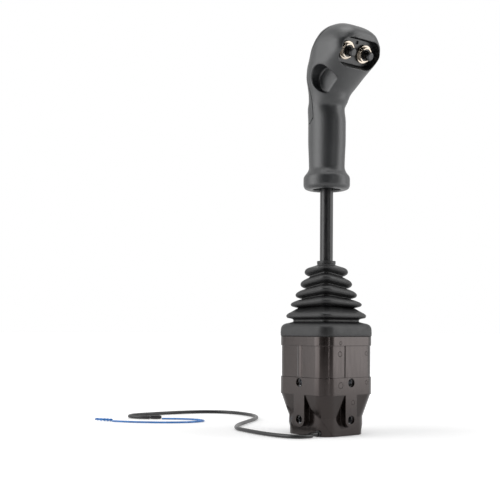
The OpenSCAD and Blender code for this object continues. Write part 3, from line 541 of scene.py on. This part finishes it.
def addPiece(name, work, material, modifiers):
    # a piece with its modifiers made real
    piece = finish(name, work, material, smooth=True)
    for kind, values in modifiers:
        modifier = piece.modifiers.new(kind.lower(), kind)
        for key, value in values.items():
            setattr(modifier, key, value)
    ready = piece.evaluated_get(bpy.context.evaluated_depsgraph_get())
    mesh = bpy.data.meshes.new_from_object(ready)
    piece.modifiers.clear()
    piece.data = mesh
    mesh.name = name
    mesh.shade_smooth()
    return piece


def makeGaiter(s):
    split = s["split"]
    slope = math.tan(foldLean(s, split)) / math.sqrt(2)
    normal = Vector((-slope, slope, 1)).normalized()
    middle = Vector((0, 0, split * mm))
    walls = [("SOLIDIFY", {"thickness": s["wall"] * mm, "offset": -1})]
    below, above = middle - s["bendBelow"] * normal, middle + s["bendAbove"] * normal
    halves = (("gaiterLower", 0, split, "base", "cradle", below, middle),
              ("gaiterUpper", split, math.inf, "cradle", "lever", middle, above))
    for name, low, high, fixed, moving, start, end in halves:
        rows = [f for f in s["folds"] if low <= f[0] <= high]
        work = loft([foldRing(s, row) for row in refined(rows, s["steps"])], capped=False)
        piece = addPiece(name, work, gaiterFinish, walls)
        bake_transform(piece)
        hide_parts("gaiter")


makeGaiter(gaiterSizes)
print("gaiter made")

# a moulded shell with a rear cover, and the window of the buttons in it, in millimetres
gripSizes = {
    "foot": 243, "points": 64, "steps": 3, "voxel": 0.7, "soften": 10,
    # the space of the rear cover, seen from the side: forward and up from its lower edge, and which
    # way the seam's gap moves the point
    "seam": 0.8, "cover": 313,
    "coverEdge": [(-1, 0, -1, 1), (-7, -4.5, 0, 1), (-60, -4.5, 0, 1), (-60, 157, 0, 0),
                  (82, 143, -1, 1), (22, 78.6, -1, 1), (-4.5, 49, -1, 0), (-1.5, 23, -1, 0)],
    # the window: its middle; width, height and corner of the opening; depth and taper of its mouth
    "window": (46.7, 0, 368.9), "opening": (50, 27, 11), "depth": 10, "taper": 1.2,
    # the button panel's thickness, and how much narrower and sharper its seat is than the opening
    "panel": 2.5, "seat": (2.9, 1.5),
    # width, height and corner of the room for the switches, and its depth behind the mouth
    "cavity": (40, 18, 8.9), "cavityDepth": 16,
    # the round socket in the side: forward, height, radius, depth
    "socket": (17, 348, 12.5, 15), "side": 29.5,
    # radius and depth of the holes for the nut and the lever's tube
    "nutHole": (14, 13), "tubeHole": (6.1, 63.5),
    # how far back and high the cover's screws are, and radius and length of their holes
    "screws": [(17.5, 327), (9, 371)], "screwHead": (3.1, 43), "screwShank": (1.8, 60),
    # height over the foot, middle, depth behind, depth ahead, half width, fullness
    "stations": [(0, 0, 18.8, 18.8, 18.8, 2), (1.3, 0, 21.8, 21.8, 21.8, 2),
                 (4.4, 0, 23.2, 23.2, 23.2, 2), (11.6, 0, 23.2, 23.2, 23.2, 2),
                 (14, 0, 22.2, 22.2, 22.2, 2), (17, 0, 19.8, 19.8, 19.8, 2),
                 (22, 0, 18.7, 18.7, 17, 2), (34, 0, 19.2, 19.2, 17.2, 2), (50, 0, 20, 20, 17.6, 2),
                 (68, 0, 20, 20, 17.6, 2), (81, -1, 19, 18.4, 18.2, 2),
                 (87, 0.6, 18.1, 20.5, 19.2, 2.05), (94, 1.5, 17.2, 22.3, 21.2, 2.1),
                 (102, 5, 21, 26.9, 24.4, 2.2), (109, 7.5, 24.3, 31.1, 26.8, 2.4),
                 (115, 11, 27.4, 33.5, 28.3, 2.7), (121, 14.5, 29.5, 33.8, 29.5, 3.6),
                 (128, 17.5, 29.1, 34.2, 30.2, 4.6), (135, 18.5, 26.9, 33.6, 30.3, 4.6),
                 (141, 19, 21.8, 34.1, 29.6, 3.5), (146, 20, 18, 32.2, 27.7, 3.1),
                 (150, 20.5, 15.3, 28, 25, 3), (154, 22, 12, 20.5, 20.5, 2.8),
                 (157, 22, 8.5, 13.5, 14.5, 2.4), (159.2, 21.5, 5.5, 8.5, 9, 2.2),
                 (160.4, 21, 3, 4.5, 5, 2)],
}


def signedPower(value, power):
    return math.copysign(abs(value) ** power, value)


def gripRing(s, row):
    z, cx, behind, ahead, half, full = row
    places = []
    for j in range(s["points"]):
        a = 2 * math.pi * j / s["points"]
        power = 2 / full if math.cos(a) > 0 else 1
        deep = ahead if math.cos(a) > 0 else behind
        places.append(Vector((cx + deep * signedPower(math.cos(a), power),
                              half * signedPower(math.sin(a), power), s["foot"] + z)) * mm)
    return places


def coverCutter(s, gap):
    # the space of the rear cover, less the gap where it meets the shell
    outline = [(x + gap * moveX, s["cover"] + z + gap * moveZ)
               for x, z, moveX, moveZ in s["coverEdge"]]
    return loft([[Vector((x, y, z)) * mm for x, z in outline] for y in (-45, 45)])


def windowCutters(s):
    # the mouth of the window, the seat of the button panel, and the room for the switches behind it
    place = (Matrix.Translation(Vector(s["window"]) * mm) @ Matrix.Rotation(panelTurn, 4, "Y")
             @ Matrix.Rotation(math.pi / 2, 4, "Z"))
    wide, high, r = s["opening"]
    deep = s["depth"]
    bed = deep + s["panel"]  # the back of the button panel

    def plate(layers):
        work = loft([[Vector((x, y, out)) * mm for x, y in roundedSquare(w, h, corner, 10, 3)]
                     for w, h, corner, out in layers])
        bmesh.ops.transform(work, matrix=place, verts=work.verts)
        return work

    taper = s["taper"]
    mouth = plate([(wide - taper, high - taper, r - taper / 2, -deep),
                   (wide + 0.4, high + 0.4, r + 0.2, 0), (wide + 8, high + 8, r + 4, 24)])
    narrower, sharper = s["seat"]
    seat = plate([(wide - narrower, high - narrower, r - sharper, out) for out in (-bed, -deep + 1)])
    room = plate([(*s["cavity"], out) for out in (-deep - s["cavityDepth"], -bed + 1)])
    return [mouth, seat, room]


def rod(x, y, z, radius, length, axis):
    # a cylinder that starts at the point and runs along the axis
    work = bmesh.new()
    bmesh.ops.create_cone(work, cap_ends=True, segments=48, radius1=radius * mm, radius2=radius * mm,
                          depth=length * mm)
    bmesh.ops.translate(work, verts=work.verts, vec=(0, 0, length / 2 * mm))
    turn = Vector(axis).to_track_quat("Z", "Y").to_matrix().to_4x4()
    bmesh.ops.transform(work, verts=work.verts, matrix=Matrix.Translation(Vector((x, y, z)) * mm) @ turn)
    return work


def carved(name, s, cutters, seam):
    # the body of the grip with the cutters taken out of it, moulded soft, then cut sharp along the seam
    parts = []
    modifiers = []
    for i, (operation, work) in enumerate(cutters + [seam]):
        parts.append(finish(name + "Cutter" + str(i), work, gripFinish))
        if i == len(cutters):
            modifiers.append(("REMESH", {"mode": "VOXEL", "voxel_size": s["voxel"] * mm}))
            modifiers.append(("SMOOTH", {"factor": 0.5, "iterations": s["soften"]}))
        modifiers.append(("BOOLEAN", {"operation": operation, "object": parts[-1], "solver": "EXACT"}))
    body = loft([gripRing(s, row) for row in refined(s["stations"], s["steps"])])
    piece = addPiece(name, body, gripFinish, modifiers)
    piece.data.set_sharp_from_angle(angle=math.radians(50))
    for part in parts:
        bpy.data.objects.remove(part)
    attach(piece, "lever")
    print(name, len(piece.data.polygons), "faces")
    return piece


def makeGrip(s):
    x, z, r, deep = s["socket"]
    holes = [("DIFFERENCE", work) for work in windowCutters(s)]
    holes.append(("DIFFERENCE", rod(x, -s["side"] - 6, z, r, deep + 6, (0, 1, 0))))
    for hole in ("nutHole", "tubeHole"):
        holes.append(("DIFFERENCE", rod(0, 0, s["foot"] - 1, *s[hole], (0, 0, 1))))
    shell = carved("gripShell", s, holes, ("DIFFERENCE", coverCutter(s, 0)))
    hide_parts("grip_shell")
    screws = []
    for back, height in s["screws"]:
        screws.append(("DIFFERENCE", rod(-back - 40, 0, height, *s["screwHead"], (1, 0, 0))))
        screws.append(("DIFFERENCE", rod(-back, 0, height, *s["screwShank"], (1, 0, 0))))
    cover = carved("rearCover", s, screws, ("INTERSECT", coverCutter(s, s["seam"])))
    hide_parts("rear_cover")


makeGrip(gripSizes)
print("grip made")


def makeSprings():
    # each is pressed together between the housing and the collar of its rod
    for axis in "xy":
        for place, fixed, moved in (("upper", 1, 0), ("lower", 0, 1)):
            node = "spring_" + axis + "_" + place
            piece = bpy.data.objects.new("coil" + axis.upper() + place.title(), nodes[node].data.copy())
            bpy.context.scene.collection.objects.link(piece)
            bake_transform(piece)
            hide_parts(node)


makeSprings()
print("springs made")

stageSizes = {
    "floor": 12, "drop": 0.0004, "paper": "#e2e2e2", "matt": 0.9,
    # distance from the foot of the joystick, and how strongly the paper glows there
    "glowFrom": (0.12, 0.34), "glowTo": (0.95, 0.9),
    # right, toward the camera and up; width and height
    "card": (0.1, 1.15, 1.15), "cardSize": (3.6, 2.28), "cardColour": "#050505",
    # a strength of 1 is white; the fill is what lights the joystick
    "background": 1, "fill": 0.3,
}

# places seen from the camera: right, toward the camera, up; width and height in metres, power in watts
lampSizes = {
    "leftLamp": {"place": (-0.95, 0.28, 0.3), "size": (0.8, 1.7), "power": 11.5},
    "rightLamp": {"place": (0.9, 0.12, 0.3), "size": (0.5, 1.7), "power": 6.2},
    "edgeLamp": {"place": (0.5, 1.0, 0.4), "size": (0.05, 1.0), "power": 1.2},
    "topLamp": {"place": (0.1, 0.2, 1.5), "size": (0.9, 0.9), "power": 8},
}
lampAim = (0, 0, 0.2)


def besideCamera(place, aim):
    # a place seen from the camera, and the turn that faces the point to aim at
    turn = math.radians(cameraView["azimuth"])
    right = Vector((math.cos(turn), math.sin(turn), 0))
    near = Vector((math.sin(turn), -math.cos(turn), 0))
    spot = place[0] * right + place[1] * near + Vector((0, 0, place[2]))
    return Matrix.Translation(spot) @ (Vector(aim) - spot).to_track_quat("-Z", "Y").to_matrix().to_4x4()


def backgroundRays(tree):
    # 1 for the rays that see the background: straight, in a mirror or through glass
    rays = addNode(tree, "LightPath").outputs
    either = addNode(tree, "Math", links={0: rays["Is Camera Ray"], 1: rays["Is Glossy Ray"]},
                     operation="MAXIMUM")
    return addNode(tree, "Math", links={0: either, 1: rays["Is Transmission Ray"]}, operation="MAXIMUM")


def palePaper(s):
    # matt white paper, with a glow that fades toward the joystick, so that its shadow stays
    material, tree, place = startMaterial("palePaper")
    paper = addNode(tree, "BsdfPrincipled",
                    {"Base Color": hexColour(s["paper"]), "Roughness": s["matt"]})
    away = addNode(tree, "VectorMath", links={0: place}, operation="LENGTH")
    (near, dim), (far, full) = s["glowFrom"], s["glowTo"]
    fade = addNode(tree, "MapRange", {"From Min": near, "From Max": far, "To Min": dim, "To Max": full},
                   {"Value": away.outputs["Value"]})
    glow = addNode(tree, "Emission", {"Color": (1, 1, 1, 1)}, {"Strength": fade})
    bright = addNode(tree, "AddShader", links={0: paper, 1: glow})
    seen = addNode(tree, "MixShader", links={"Fac": backgroundRays(tree), 1: paper, 2: bright})
    addNode(tree, "OutputMaterial", links={"Surface": seen})
    return material


def blackCard(s):
    # matt black paperboard: it mirrors next to nothing
    material, tree, _ = startMaterial("blackCard")
    card = addNode(tree, "BsdfPrincipled",
                   {"Base Color": hexColour(s["cardColour"]), "Roughness": s["matt"]})
    addNode(tree, "OutputMaterial", links={"Surface": card})
    return material


def makeStage(s):
    work = bmesh.new()
    bmesh.ops.create_grid(work, x_segments=1, y_segments=1, size=s["floor"])
    bmesh.ops.translate(work, verts=work.verts, vec=(0, 0, -s["drop"]))
    finish("floor", work, palePaper(s))
    # the card is hidden from the camera and gives the glossy moulding something dark to mirror
    work = bmesh.new()
    bmesh.ops.create_grid(work, x_segments=1, y_segments=1, size=0.5)
    bmesh.ops.scale(work, verts=work.verts, vec=(*s["cardSize"], 1))
    bmesh.ops.transform(work, verts=work.verts, matrix=besideCamera(s["card"], (0, 0, s["card"][2])))
    card = finish("card", work, blackCard(s))
    card.visible_camera = False


def makeWorld(s):
    world = bpy.data.worlds.new("studio")
    bpy.context.scene.world = world
    world.use_nodes = True
    tree = world.node_tree
    tree.nodes.clear()
    fill = addNode(tree, "Background", {"Color": (1, 1, 1, 1), "Strength": s["fill"]})
    white = addNode(tree, "Background", {"Color": (1, 1, 1, 1), "Strength": s["background"]})
    both = addNode(tree, "MixShader", links={"Fac": backgroundRays(tree), 1: fill, 2: white})
    addNode(tree, "OutputWorld", links={"Surface": both})


def makeLamps(lamps):
    for name, s in lamps.items():
        data = bpy.data.lights.new(name, "AREA")
        data.shape = "RECTANGLE"
        data.size, data.size_y = s["size"]
        data.energy = s["power"]
        lamp = bpy.data.objects.new(name, data)
        bpy.context.scene.collection.objects.link(lamp)
        lamp.matrix_world = besideCamera(s["place"], lampAim)


makeStage(stageSizes)
makeWorld(stageSizes)
makeLamps(lampSizes)
bpy.context.scene.view_settings.view_transform = "Standard"
print("stage and lamps made")
